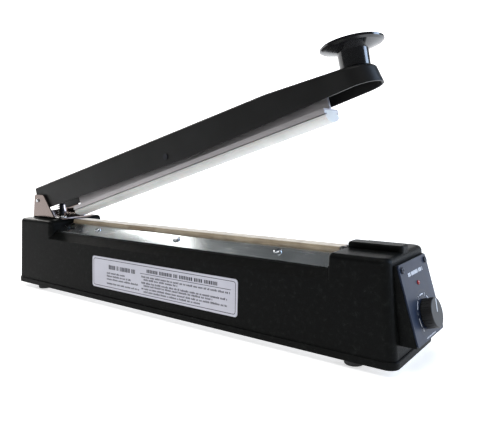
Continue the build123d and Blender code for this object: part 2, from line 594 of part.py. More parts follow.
# ---- plunger, return spring and switch ------------------------------------------------------
lever_arm = PLUNGER_X - HINGE_X
dome_z = HINGE_Z + (SEAT_E - DOME_R - PLUNGER_GAP + lever_arm * sin(radians(ARM_OPEN))) \
    / cos(radians(ARM_OPEN))
SWITCH_X = 14.0          # lever pivot from the left end
SWITCH_Z = 57.0          # lever pivot height
SWITCH_TOP = 56.0        # switch case top
LEVER_REST = 12.5        # lever angle at rest
LEVER_T = 0.4
TIP_R = PLUNGER_R
reach = PLUNGER_X - SWITCH_X
tip_z = SWITCH_Z + (TIP_R + PLUNGER_GAP + LEVER_T / 2 + reach * sin(radians(LEVER_REST))) \
    / cos(radians(LEVER_REST))
COLLAR_R, COLLAR_T = 4.7, 1.5
plunger = rod_z(PLUNGER_X, 0, tip_z, dome_z, PLUNGER_R)
plunger += Pos(bx(PLUNGER_X), 0, bz(tip_z)) * Sphere(TIP_R)
plunger += Pos(bx(PLUNGER_X), 0, bz(dome_z)) * (
    Sphere(DOME_R) - Pos(0, 0, -DOME_R) * Box(9, 9, 2 * DOME_R))
collar_z = dome_z - COLLAR_T
plunger += rod_z(PLUNGER_X, 0, collar_z, dome_z, COLLAR_R)

COIL_R, COIL_WIRE = 4.0, 0.55
coil_z0, coil_z1 = PLATE_TOP + COIL_WIRE + 0.05, collar_z - COIL_WIRE - 0.05
coil_l, COIL_TURNS = coil_z1 - coil_z0, 5.5
coil_path = Pos(bx(PLUNGER_X), 0, bz(coil_z0)) * Helix(coil_l / COIL_TURNS, coil_l, COIL_R)
coil_section = Plane(origin=coil_path @ 0, z_dir=coil_path % 0) * Circle(COIL_WIRE)
return_spring = sweep(coil_section, coil_path, is_frenet=True)

SWITCH_Y = 5.0
switch_case = block(SWITCH_X - 3, SWITCH_X + 25, -SWITCH_Y, SWITCH_Y, SWITCH_TOP - 16, SWITCH_TOP)
switch_case = fillet(switch_case.edges().filter_by(Axis.Y), 1.0)
for x, z in ((SWITCH_X + 1.5, SWITCH_TOP - 12.5), (SWITCH_X + 20, SWITCH_TOP - 4)):
    switch_case -= Pos(bx(x), 0, bz(z)) * rod_y(0, 0, -9, 9, 1.6)
switch_case -= block(SWITCH_X - 1.2, SWITCH_X + 1.2, -2.6, 2.6, SWITCH_TOP - 1.2, SWITCH_TOP + 1)
cheeks = block(SWITCH_X - 1.4, SWITCH_X + 1.4, -4.2, -2.7, SWITCH_TOP - 1, SWITCH_Z + 1.4)
cheeks += block(SWITCH_X - 1.4, SWITCH_X + 1.4, 2.7, 4.2, SWITCH_TOP - 1, SWITCH_Z + 1.4)
switch_case += cheeks - Pos(bx(SWITCH_X), 0, bz(SWITCH_Z)) * rod_y(0, 0, -9, 9, 0.65)
BUTTON_X, BUTTON_R = SWITCH_X + 6, 1.2
button_top = SWITCH_Z + 6 * tan(radians(LEVER_REST)) - 0.5
switch_case -= rod_z(BUTTON_X, 0, SWITCH_TOP - 5, SWITCH_TOP + 1, BUTTON_R + FIT)
switch_button = rod_z(BUTTON_X, 0, SWITCH_TOP - 3.4, button_top, BUTTON_R)
switch_button = fillet(switch_button.faces().sort_by(Axis.Z)[-1].edges(), 0.4)

lever = slab(0, reach + 4, -2.2, 2.2, -LEVER_T / 2, LEVER_T / 2)
lever += rod_y(0, 0, -2.4, 2.4, 0.9) + rod_y(0, 0, -4.1, 4.1, 0.6)
switch_lever = Pos(bx(SWITCH_X), 0, bz(SWITCH_Z)) * Rot(0, -LEVER_REST, 0) * lever

bracket_top = SWITCH_TOP - 1
bracket_y = SWITCH_Y + 1.2
BOARD_Z = base_z + BASE_T
switch_bracket = block(SWITCH_X - 3, SWITCH_X + 25, SWITCH_Y, bracket_y, BOARD_Z, bracket_top)
switch_bracket += block(SWITCH_X - 3, SWITCH_X + 25, SWITCH_Y, SWITCH_Y + 14, BOARD_Z, BOARD_Z + 1.2)
switch_bolts = []
for x, z in ((SWITCH_X + 1.5, SWITCH_TOP - 12.5), (SWITCH_X + 20, SWITCH_TOP - 4)):
    switch_bracket -= Pos(bx(x), 0, bz(z)) * rod_y(0, 0, -9, 9, 1.6)
    switch_bolts.append(Pos(bx(x), -SWITCH_Y, bz(z)) * Rot(90, 0, 0) * screw(2.9, 13, 5.2, 1.6))
for x in (SWITCH_X + 4, SWITCH_X + 18):
    hole = rod_z(x, SWITCH_Y + 9, 0, BOARD_Z + 2, 1.6)
    switch_bracket -= hole
    base_plate -= hole
    switch_bolts.append(Pos(bx(x), SWITCH_Y + 9, bz(BOARD_Z + 1.2)) * screw(2.9, 4.5, 5.2, 1.6))
switch_screws = several(switch_bolts)

# ---- transformer ----------------------------------------------------------------------------
TR_X = 268.0
TR_L, TR_STACK, TR_H = 60.0, 30.0, 48.0
tr_z0 = BOARD_Z
leg, window_w, window_h = 10.0, 10.0, 28.0
win_z0 = tr_z0 + leg
transformer_core = block(TR_X - TR_L / 2, TR_X + TR_L / 2, -TR_STACK / 2, TR_STACK / 2,
                         tr_z0, tr_z0 + TR_H)
for side in (-1, 1):
    x0, x1 = sorted((TR_X + side * leg, TR_X + side * (leg + window_w)))
    transformer_core -= block(x0, x1, -20, 20, win_z0, win_z0 + window_h)
coil_in = (leg + 0.1, TR_STACK / 2 + 0.1)


def ring(x_out, y_out, z0, z1, x_in, y_in):
    """Rectangular ring round the centre leg."""
    return (block(TR_X - x_out, TR_X + x_out, -y_out, y_out, z0, z1)
            - block(TR_X - x_in, TR_X + x_in, -y_in, y_in, z0 - 1, z1 + 1))


bob_z0, bob_z1 = win_z0 + 0.2, win_z0 + window_h - 0.2
transformer_bobbin = ring(leg + 1.3, coil_in[1] + 1.2, bob_z0, bob_z1, *coil_in)
for z0 in (bob_z0, bob_z1 - 1.2):
    transformer_bobbin += ring(leg + window_w - 0.2, TR_STACK / 2 + 10, z0, z0 + 1.2, *coil_in)
transformer_coil = ring(leg + window_w - 0.6, TR_STACK / 2 + 9.4, bob_z0 + 1.25,
                        bob_z1 - 1.25, leg + 1.35, coil_in[1] + 1.25)
transformer_coil = fillet(transformer_coil.edges().filter_by(Axis.Z).sort_by(
    lambda e: -abs(e.center().Y))[:4], 3.0)
STRAP_T, STRAP_Y = 1.2, 11.0
strap_x = TR_L / 2 + STRAP_T
transformer_strap = block(TR_X - strap_x, TR_X + strap_x, -STRAP_Y, STRAP_Y,
                          tr_z0, tr_z0 + TR_H + STRAP_T)
transformer_strap -= block(TR_X - TR_L / 2, TR_X + TR_L / 2, -20, 20, tr_z0 - 1, tr_z0 + TR_H)
transformer_bolts = []
for side in (-1, 1):
    x0, x1 = sorted((TR_X + side * strap_x, TR_X + side * (strap_x + 10)))
    transformer_strap += block(x0, x1, -STRAP_Y, STRAP_Y, tr_z0, tr_z0 + STRAP_T)
    hole = rod_z((x0 + x1) / 2, 0, 0, tr_z0 + 3, 2.1)
    transformer_strap -= hole
    base_plate -= hole
    transformer_bolts.append(Pos(bx((x0 + x1) / 2), 0, bz(tr_z0 + STRAP_T))
                             * screw(3.9, 5, 7.2, 2.2))
transformer_screws = several(transformer_bolts)

# ---- timer board ----------------------------------------------------------------------------
PCB_X0, PCB_X1, PCB_Y, PCB_Z, PCB_T = 320.0, 400.0, 21.5, 12.0, 1.6
pcb_holes = [(x, y) for x in (PCB_X0 + 5, PCB_X1 - 5) for y in (-PCB_Y + 5, PCB_Y - 5)]
timer_board = block(PCB_X0, PCB_X1, -PCB_Y, PCB_Y, PCB_Z, PCB_Z + PCB_T)
standoffs, board_bolts = [], []
for x, y in pcb_holes:
    timer_board -= rod_z(x, y, PCB_Z - 1, PCB_Z + 3, 1.6)
    standoffs.append(rod_z(x, y, BOARD_Z, PCB_Z, 3.0) - rod_z(x, y, 0, 20, 1.3))
    board_bolts.append(Pos(bx(x), y, bz(PCB_Z + PCB_T)) * screw(2.5, 7, 5.0, 1.6))
board_standoffs = several(standoffs)
board_screws = several(board_bolts)
pcb_top = PCB_Z + PCB_T
relay = fillet(block(334, 354, -8, 8, pcb_top, pcb_top + 16).edges().filter_by(Axis.Z), 1.0)
capacitors = several([rod_z(366, y, pcb_top, pcb_top + 14, 4.5) for y in (-10, 4)]
                     + [rod_z(380, -4, pcb_top, pcb_top + 11, 3.2)])
TERM_Y, TERM_PITCH = 12.5, 5.0
terminal_block = block(326, 333, -TERM_Y, TERM_Y, pcb_top, pcb_top + 10)
for i in range(5):
    y = -TERM_Y + TERM_PITCH * (i + 0.5)
    terminal_block -= rod_z(329.5, y, pcb_top + 5, pcb_top + 11, 1.7)
    terminal_block -= block(325, 328, y - 1.6, y + 1.6, pcb_top + 1.2, pcb_top + 4.4)

# ---- control panel --------------------------------------------------------------------------
panel_plate = on_panel(Pos(0, PANEL_LEN / 2, 0) * extrude(
    RectangleRounded(PANEL_W - 0.4, PANEL_LEN - 0.4, 2.0), PANEL_T))
panel_plate -= on_panel(Cylinder(POT_R, 12), KNOB_V)
panel_plate -= on_panel(Cylinder(LED_R + FIT, 12), LED_V)
for y in (-PANEL_SCREW_Y, PANEL_SCREW_Y):
    panel_plate -= on_panel(Cylinder(1.6, 12), PANEL_SCREW_V, y)
panel_screws = several([on_panel(Pos(0, 0, PANEL_T) * screw(2.0, 6, 4.6, 1.3), PANEL_SCREW_V, y)
                        for y in (-PANEL_SCREW_Y, PANEL_SCREW_Y)])
ARCS, ARC_STEP, ARC_SPAN = 5, 52.0, 27.0   # printed arcs between the dial's six numbers
ARC_W, ARC_T = 0.8, 0.12
arc_path = CenterArc((0, 0), DIAL_R, 90 - ARC_SPAN / 2, ARC_SPAN)
arc_mark = extrude(Pos(0, 0, PANEL_T) * trace(arc_path, ARC_W), ARC_T)
dial_marks = several([on_panel(Rot(0, 0, ARC_STEP * (i - (ARCS - 1) / 2)) * arc_mark, KNOB_V)
                      for i in range(ARCS)])
led = on_panel(Cylinder(LED_R, 5.2, align=TOP)
               + Cylinder(LED_R, PANEL_T + 0.2, align=BOTTOM)
               + Pos(0, 0, PANEL_T + 0.2) * scale(Sphere(LED_R), (1, 1, 0.6)), LED_V)

POT_BODY_R, POT_BODY_H = 8.4, 9.0
pot_body = Pos(0, 0, -WALL) * Cylinder(POT_BODY_R, POT_BODY_H, align=TOP)
pot_body += Pos(0, 0, -WALL) * Cylinder(POT_R - 0.1, WALL + PANEL_T + 2.4, align=BOTTOM)
SHAFT_R = 3.0
pot_body -= Pos(0, 0, -WALL - 6) * Cylinder(SHAFT_R + FIT, 20, align=BOTTOM)
potentiometer = on_panel(pot_body, KNOB_V)
nut = extrude(RegularPolygon(5.6, 6), 2.0) - Cylinder(POT_R - 0.08, 9)
pot_nut = on_panel(Pos(0, 0, PANEL_T) * nut, KNOB_V)
knob_z0 = PANEL_T + KNOB_GAP
shaft_foot = -WALL - 5.8
shaft = Cylinder(SHAFT_R, knob_z0 + KNOB_H - 2 - shaft_foot, align=BOTTOM)
shaft = Pos(0, 0, shaft_foot) * shaft
D_FLAT = 2.2             # flat of the D shaft from its axis
shaft -= Pos(D_FLAT + 2, 0, knob_z0 + 4.2 + 5) * Box(4, 9, 10)
knob_turn = Rot(0, 0, -KNOB_REST)
pot_shaft = on_panel(knob_turn * shaft, KNOB_V)

knob = Pos(0, 0, knob_z0) * Cylinder(KNOB_R, KNOB_H, align=BOTTOM)
knob = fillet(knob.faces().sort_by(Axis.Z)[-1].edges(), 0.7)
knob -= Pos(0, 0, knob_z0) * Cylinder(7.4, 3.2, align=BOTTOM)
bore = Pos(0, 0, knob_z0) * Cylinder(SHAFT_R + 0.02, KNOB_H - 1.9, align=BOTTOM)
bore -= Pos(D_FLAT + 0.02 + 2, 0, knob_z0 + 4.22 + 5) * Box(4, 9, 10)
knob -= bore
FLUTES = 24
flute = Pos(KNOB_R + 0.35, 0, knob_z0 + KNOB_H / 2 - 1) * Cylinder(0.7, KNOB_H - 2)
knob -= [Rot(0, 0, 360 * i / FLUTES) * flute for i in range(FLUTES)]
line_y0, line_y1, line_w, line_t = 0.5, KNOB_R - 0.9, 1.3, 0.3
knob_face = knob_z0 + KNOB_H
line_at = Pos(0, (line_y0 + line_y1) / 2, knob_face - line_t / 2)
knob -= line_at * Box(line_w, line_y1 - line_y0, line_t)
knob_pointer = on_panel(knob_turn * line_at * Box(line_w, line_y1 - line_y0, line_t), KNOB_V)
timer_knob = on_panel(knob_turn * knob, KNOB_V)

# ---- label and cord gland -------------------------------------------------------------------
LABEL_X, LABEL_Z, LABEL_T = (137.0, 326.0), (13.5, 45.0), 0.4
wall_lean = (BODY_W / 2 - RIM_STEP - TOP_W / 2) / BODY_H
label_plane = Plane(origin=(bx(sum(LABEL_X) / 2), -wall_y(LABEL_Z[0]), bz(LABEL_Z[0])),
                    x_dir=(1, 0, 0), z_dir=(0, -1, wall_lean))
label_h = LABEL_Z[1] - LABEL_Z[0]
front_label = label_plane.location * Pos(0, label_h / 2, 0) * extrude(
    RectangleRounded(LABEL_X[1] - LABEL_X[0], label_h, 3.0), LABEL_T)

GLAND_BORE = 3.2
gland_wall = wall_y(GLAND_Z)
gland = rod_y(0, 0, gland_wall - 6, gland_wall + 1.6, GLAND_R - 0.1)
gland += rod_y(0, 0, gland_wall + 0.45, gland_wall + 1.8, 7.6)
gland += rod_y(0, 0, gland_wall - 6, gland_wall - WALL - 0.5, 6.6)
gland -= rod_y(0, 0, gland_wall - 9, gland_wall + 9, GLAND_BORE)
cord_gland = Pos(bx(GLAND_X), 0, bz(GLAND_Z)) * gland

# ---- internal leads -------------------------------------------------------------------------
CLAMP_MID = CLAMP_TOP - CLAMP_H / 2
coil_out = TR_STACK / 2 + 11.2
power_leads = several([
    wire([(TR_X + way * 10, coil_out, 36), (TR_X + way * 25, coil_out, 38),
          (TR_X + way * 41, 16, 46), (bend_x, bend_y, 50), (clamp_x, 0, CLAMP_MID),
          (end_x, 0, CLAMP_MID)], 1.3)
    for way, bend_x, bend_y, clamp_x, end_x in (
        (-1, 200, 12, 90, LEG_X[0] + 8.7), (1, 340, 10, 386, LEG_X[1] - 8.7))])
PIN_Z, PORT_X, PORT_Z = 39.6, 325.6, 17.0      # switch terminals and the board's terminal block
control_leads = several([
    wire([(SWITCH_X + 4, 0, PIN_Z), (SWITCH_X + 4, 0, 30), (50, -19.5, 8), (306, -19.5, 8),
          (317, -8, PORT_Z), (PORT_X, -8, PORT_Z)], 0.9),
    wire([(SWITCH_X + 20, 0, PIN_Z), (SWITCH_X + 20, 0, 30), (60, -17, 6), (304, -17, 6),
          (312, -2, PORT_Z), (PORT_X, -2, PORT_Z)], 0.9),
    wire([(447.5, 3, 33), (436, 6, 33), (418, 8, 24), (394, 12, 24), (390, 12, 14)], 0.8),
])

NODES = {
    "housing": housing, "base_plate": base_plate, "base_screws": base_screws, "feet": feet,
    "foot_screws": foot_screws, "front_cover_plate": front_cover_plate,
    "rear_cover_plate": rear_cover_plate, "cover_plate_screws": cover_plate_screws,
    "sealing_bar": sealing_bar, "bar_screws": bar_screws, "insulation_strip": insulation_strip,
    "heating_element": heating_element, "ptfe_cloth": ptfe_cloth, "element_clamps": element_clamps,
    "clamp_posts": clamp_posts, "clamp_screws": clamp_screws, "hinge_bracket": hinge_bracket,
    "bracket_screws": bracket_screws, "hinge_pin": hinge_pin, "pin_washers": pin_washers,
    "arm": arm, "spring_seat": spring_seat, "handle_knob": handle_knob, "handle_screw": handle_screw,
    "pressure_bar": pressure_bar, "silicone_strip": silicone_strip, "rocking_pin": rocking_pin,
    "rock_spacers": rock_spacers, "plunger": plunger, "return_spring": return_spring,
    "switch_case": switch_case, "switch_button": switch_button, "switch_lever": switch_lever,
    "switch_bracket": switch_bracket, "switch_screws": switch_screws,
    "transformer_core": transformer_core, "transformer_bobbin": transformer_bobbin,
    "transformer_coil": transformer_coil, "transformer_strap": transformer_strap,
    "transformer_screws": transformer_screws, "timer_board": timer_board,
    "board_standoffs": board_standoffs, "board_screws": board_screws, "relay": relay,
    "capacitors": capacitors, "terminal_block": terminal_block, "panel_plate": panel_plate,
    "panel_screws": panel_screws, "dial_marks": dial_marks, "led": led,
    "potentiometer": potentiometer, "pot_nut": pot_nut, "pot_shaft": pot_shaft,
    "timer_knob": timer_knob, "knob_pointer": knob_pointer, "front_label": front_label,
    "cord_gland": cord_gland, "power_leads": power_leads, "control_leads": control_leads,
}

if __name__ == "__main__":
    os.makedirs("parts", exist_ok=True)
    for node, shape in NODES.items():
        export_step(shape, f"parts/{node}.step")
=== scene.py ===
"""Impulse heat sealer: finishes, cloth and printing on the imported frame, in metres."""
import json
import math
import random

import bpy
from mathutils import Matrix, Vector, noise


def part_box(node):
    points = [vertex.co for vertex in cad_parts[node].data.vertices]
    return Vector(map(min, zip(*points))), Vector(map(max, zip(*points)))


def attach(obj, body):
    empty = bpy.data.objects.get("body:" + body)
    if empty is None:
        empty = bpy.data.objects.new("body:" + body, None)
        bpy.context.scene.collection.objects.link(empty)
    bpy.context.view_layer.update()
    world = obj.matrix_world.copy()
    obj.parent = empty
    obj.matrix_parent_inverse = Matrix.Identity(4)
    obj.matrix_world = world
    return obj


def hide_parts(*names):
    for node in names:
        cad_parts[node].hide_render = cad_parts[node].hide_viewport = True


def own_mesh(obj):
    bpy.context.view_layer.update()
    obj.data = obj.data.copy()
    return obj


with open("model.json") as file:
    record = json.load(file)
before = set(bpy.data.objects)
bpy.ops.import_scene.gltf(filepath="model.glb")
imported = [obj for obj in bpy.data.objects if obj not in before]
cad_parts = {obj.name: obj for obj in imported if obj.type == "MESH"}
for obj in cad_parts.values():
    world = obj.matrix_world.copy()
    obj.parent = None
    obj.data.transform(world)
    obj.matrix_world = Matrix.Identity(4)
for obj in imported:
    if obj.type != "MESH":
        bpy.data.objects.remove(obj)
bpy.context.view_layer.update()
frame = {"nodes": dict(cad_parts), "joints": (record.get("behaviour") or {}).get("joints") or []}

NODES = frame["nodes"]
MM = 0.001
random.seed(7)


# ---- node helpers ---------------------------------------------------------------------------
class Finish:
    """One node material: a Principled shader with procedural colour, roughness and bump."""

    def __init__(self, name, rough=0.5, metal=0.0, **sockets):
        self.material = bpy.data.materials.new(name)
        self.material.use_nodes = True
        self.tree = self.material.node_tree
        self.shader = self.tree.nodes["Principled BSDF"]
        self.shader.inputs["Roughness"].default_value = rough
        self.shader.inputs["Metallic"].default_value = metal
        for socket, value in sockets.items():
            self.shader.inputs[socket.replace("_", " ")].default_value = value
        self.place = self.node("ShaderNodeTexCoord").outputs["Object"]

    def node(self, kind, **values):
        made = self.tree.nodes.new(kind)
        for key, value in values.items():
            if key in made.inputs:
                made.inputs[key].default_value = value
            else:
                setattr(made, key, value)
        return made

    def link(self, a, b):
        self.tree.links.new(a, b)

    def stretched(self, scale):
        """Object coordinates scaled by axis, for grain that runs one way."""
        mapping = self.node("ShaderNodeMapping", Scale=scale)
        self.link(self.place, mapping.inputs["Vector"])
        return mapping.outputs["Vector"]

    def noise(self, scale, detail=2.0, place=None):
        made = self.node("ShaderNodeTexNoise", Scale=scale, Detail=detail)
        self.link(place or self.place, made.inputs["Vector"])
        return made.outputs["Fac"]

    def cells(self, scale, feature="F1", place=None):
        made = self.node("ShaderNodeTexVoronoi", feature=feature)
        made.inputs["Scale"].default_value = scale
        self.link(place or self.place, made.inputs["Vector"])
        return made.outputs["Distance"]

    def weave(self, scale):
        """Over-and-under threads from two crossed waves."""
        out = []
        for direction in ("X", "Y"):
            wave = self.node("ShaderNodeTexWave", Scale=scale, Distortion=0.4)
            wave.bands_direction = direction
            self.link(self.place, wave.inputs["Vector"])
            out.append(wave.outputs["Fac"])
        return self.mix("MULTIPLY", *out)

    def mix(self, operation, a, b):
        made = self.node("ShaderNodeMath", operation=operation)
        for value, socket in zip((a, b), made.inputs):
            if isinstance(value, (int, float)):
                socket.default_value = value
            else:
                self.link(value, socket)
        return made.outputs[0]

    def ramp(self, factor, *stops):
        """Colour ramp; each stop is (position, colour)."""
        made = self.node("ShaderNodeValToRGB")
        ramp = made.color_ramp
        while len(ramp.elements) < len(stops):
            ramp.elements.new(0.5)
        for element, (position, colour) in zip(ramp.elements, stops):
            element.position = position
            element.color = (*colour, 1.0)
        self.link(factor, made.inputs["Fac"])
        return made.outputs["Color"]

    def colour(self, factor, *stops):
        self.link(self.ramp(factor, *stops), self.shader.inputs["Base Color"])
        return self

    def roughness(self, factor, low, high):
        made = self.node("ShaderNodeMapRange")
        made.inputs["To Min"].default_value = low
        made.inputs["To Max"].default_value = high
        self.link(factor, made.inputs["Value"])
        self.link(made.outputs["Result"], self.shader.inputs["Roughness"])
        return self

    def bump(self, height, depth, strength=1.0):
        """Bump of the given depth in metres."""
        made = self.node("ShaderNodeBump", Strength=strength, Distance=depth)
        self.link(height, made.inputs["Height"])
        self.link(made.outputs["Normal"], self.shader.inputs["Normal"])
        return self


def tone(level, tint=(1.0, 1.0, 1.0)):
    return tuple(level * t for t in tint)


# ---- finishes -------------------------------------------------------------------------------
COOL = (0.9, 0.97, 1.1)
GREEN_GREY = (0.93, 1.02, 0.95)


def hammered(name):
    """Black hammertone enamel: fine dimples with faint metallic flecks."""
    f = Finish(name, rough=0.38, Specular_IOR_Level=0.06)
    dimples = f.cells(950, "SMOOTH_F1")
    fleck = f.noise(4200, 1.0)
    f.colour(f.mix("MULTIPLY", fleck, f.noise(240, 3.0)),
             (0.0, tone(0.003)), (0.34, tone(0.005, GREEN_GREY)), (0.5, tone(0.026, GREEN_GREY)))
    f.roughness(f.noise(900, 2.0), 0.34, 0.52)
    return f.bump(f.mix("ADD", dimples, f.mix("MULTIPLY", fleck, 0.25)), 0.2 * MM, 0.45)


def enamel(name, level=0.005):
    """Smooth black enamel with a little orange peel and faint dust."""
    f = Finish(name, rough=0.36, Specular_IOR_Level=0.26)
    f.colour(f.noise(34, 5.0), (0.35, tone(level, (1.0, 0.97, 0.94))), (0.75, tone(level * 2.0)))
    f.roughness(f.noise(60, 4.0), 0.34, 0.5)
    return f.bump(f.noise(850, 2.0), 0.05 * MM, 0.25)


def gloss(name, level=0.004):
    """Glossy moulded black with faint handling marks."""
    f = Finish(name, rough=0.14, Specular_IOR_Level=0.5, Coat_Weight=0.25, Coat_Roughness=0.08)
    f.colour(f.noise(40, 4.0), (0.3, tone(level)), (0.8, tone(level * 2.2, COOL)))
    f.roughness(f.noise(110, 6.0), 0.1, 0.26)
    return f.bump(f.noise(420, 2.0), 0.03 * MM, 0.2)


def matt_plastic(name, colour, rough=0.55):
    """Fine spark-eroded moulding grain."""
    f = Finish(name, rough=rough)
    f.colour(f.noise(70, 4.0), (0.25, tone(0.75, colour)), (0.8, tone(1.15, colour)))
    f.roughness(f.noise(300, 3.0), rough - 0.1, rough + 0.1)
    return f.bump(f.noise(1800, 2.0), 0.06 * MM, 0.5)


def polished(name, colour=(0.74, 0.77, 0.76), rough=0.12, grain=0.2):
    """Bright rolled or plated steel with fine lengthwise scratches and smears."""
    f = Finish(name, rough=rough, metal=1.0)
    along = f.stretched((14, 900, 900))
    smear = f.noise(24, 5.0)
    f.colour(smear, (0.3, tone(0.86, colour)), (0.75, tone(1.05, colour)))
    f.roughness(f.mix("MULTIPLY", f.noise(1.0, 4.0, along), smear), rough * 0.5, rough * 3.2)
    return f.bump(f.noise(1.0, 3.0, along), 0.02 * MM, grain)


def brushed(name, colour, rough=0.34):
    """Extruded or brushed metal: long fine lines."""
    f = Finish(name, rough=rough, metal=1.0)
    lines = f.noise(1.0, 5.0, f.stretched((10, 1400, 1400)))
    f.colour(f.mix("MULTIPLY", lines, f.noise(30, 4.0)),
             (0.08, tone(0.78, colour)), (0.42, tone(1.05, colour)))
    f.roughness(lines, rough - 0.1, rough + 0.16)
    return f.bump(lines, 0.03 * MM, 0.35)


def plated(name, colour=(0.5, 0.51, 0.53), rough=0.3):
    """Zinc plate: cloudy crystals, small pits."""
    f = Finish(name, rough=rough, metal=1.0)
    clouds = f.noise(160, 6.0)
    f.colour(clouds, (0.25, tone(0.7, colour)), (0.75, tone(1.15, colour)))
    f.roughness(clouds, rough - 0.12, rough + 0.2)
    return f.bump(f.noise(1200, 3.0), 0.03 * MM, 0.4)


def rubber(name, colour, rough=0.6, sheen=0.0, depth=0.08, **sockets):
    """Soft moulded rubber with a dusty bloom."""
    f = Finish(name, rough=rough, Sheen_Weight=sheen, **sockets)
    dust = f.noise(55, 6.0)
    f.colour(dust, (0.25, tone(0.84, colour)), (0.8, tone(1.06, colour)))
    f.roughness(f.noise(260, 4.0), rough - 0.12, rough + 0.1)
    return f.bump(f.noise(950, 3.0), depth * MM, 0.35)


def glass_cloth(name, low, high, scale=900, rough=0.42):
    """PTFE-coated woven glass: fine threads under a slightly glossy coat."""
    f = Finish(name, rough=rough, Coat_Weight=0.2, Coat_Roughness=0.3)
    threads = f.weave(scale)
    scorch = f.noise(70, 5.0)
    f.colour(f.mix("ADD", f.mix("MULTIPLY", threads, 0.3), f.mix("MULTIPLY", scorch, 0.8)),
             (0.2, low), (0.75, high))
    f.roughness(threads, rough - 0.1, rough + 0.12)
    return f.bump(threads, 0.03 * MM, 0.4)


def laminated(name):
    """Stacked core laminations, seen as lines across the stack."""
    f = Finish(name, rough=0.5, metal=0.8)
    sheets = f.noise(1.0, 1.0, f.stretched((30, 1900, 30)))
    f.colour(f.mix("MULTIPLY", sheets, f.noise(80, 4.0)),
             (0.1, (0.07, 0.065, 0.06)), (0.45, (0.3, 0.3, 0.31)))
    return f.bump(sheets, 0.15 * MM, 0.7)


def winding(name):
    """Amber tape over turns of wire."""
    f = Finish(name, rough=0.32, Coat_Weight=0.3)
    turns = f.noise(1.0, 1.0, f.stretched((20, 20, 1700)))
    f.colour(turns, (0.3, (0.42, 0.24, 0.04)), (0.7, (0.72, 0.5, 0.12)))
    return f.bump(turns, 0.1 * MM, 0.6)


def board(name):
    """Green solder mask with copper tracks under it."""
    f = Finish(name, rough=0.3)
    tracks = f.cells(190, "DISTANCE_TO_EDGE", f.stretched((1, 1, 0.1)))
    f.colour(tracks, (0.04, (0.05, 0.3, 0.12)), (0.09, (0.015, 0.11, 0.05)))
    return f.bump(tracks, 0.04 * MM, 0.4)


def lamp(name):
    """Diffused red LED lens."""
    f = Finish(name, rough=0.22, Transmission_Weight=0.25, IOR=1.5)
    f.colour(f.noise(700, 2.0), (0.3, (0.24, 0.008, 0.008)), (0.75, (0.4, 0.02, 0.014)))
    f.shader.inputs["Emission Color"].default_value = (0.9, 0.05, 0.03, 1)
    f.shader.inputs["Emission Strength"].default_value = 0.05
    return f.bump(f.noise(900, 2.0), 0.03 * MM, 0.3)


def foil(name, colour):
    """Printed aluminium foil, satin, with a fine horizontal grain."""
    f = Finish(name, rough=0.42, metal=0.35)
    grain = f.noise(1.0, 5.0, f.stretched((18, 1300, 1300)))
    haze = f.noise(26, 4.0)
    f.colour(f.mix("ADD", f.mix("MULTIPLY", grain, 0.35), f.mix("MULTIPLY", haze, 0.6)),
             (0.2, tone(0.84, colour)), (0.75, tone(1.07, colour)))
    f.roughness(grain, 0.34, 0.52)
    return f.bump(grain, 0.02 * MM, 0.3)


def ink(name, colour):
    """Screen-printed ink with slightly uneven cover."""
    f = Finish(name)
    f.colour(f.noise(600, 4.0), (0.25, tone(0.75, colour)), (0.7, tone(1.1, colour)))
    return f.bump(f.noise(2200, 2.0), 0.01 * MM, 0.4)


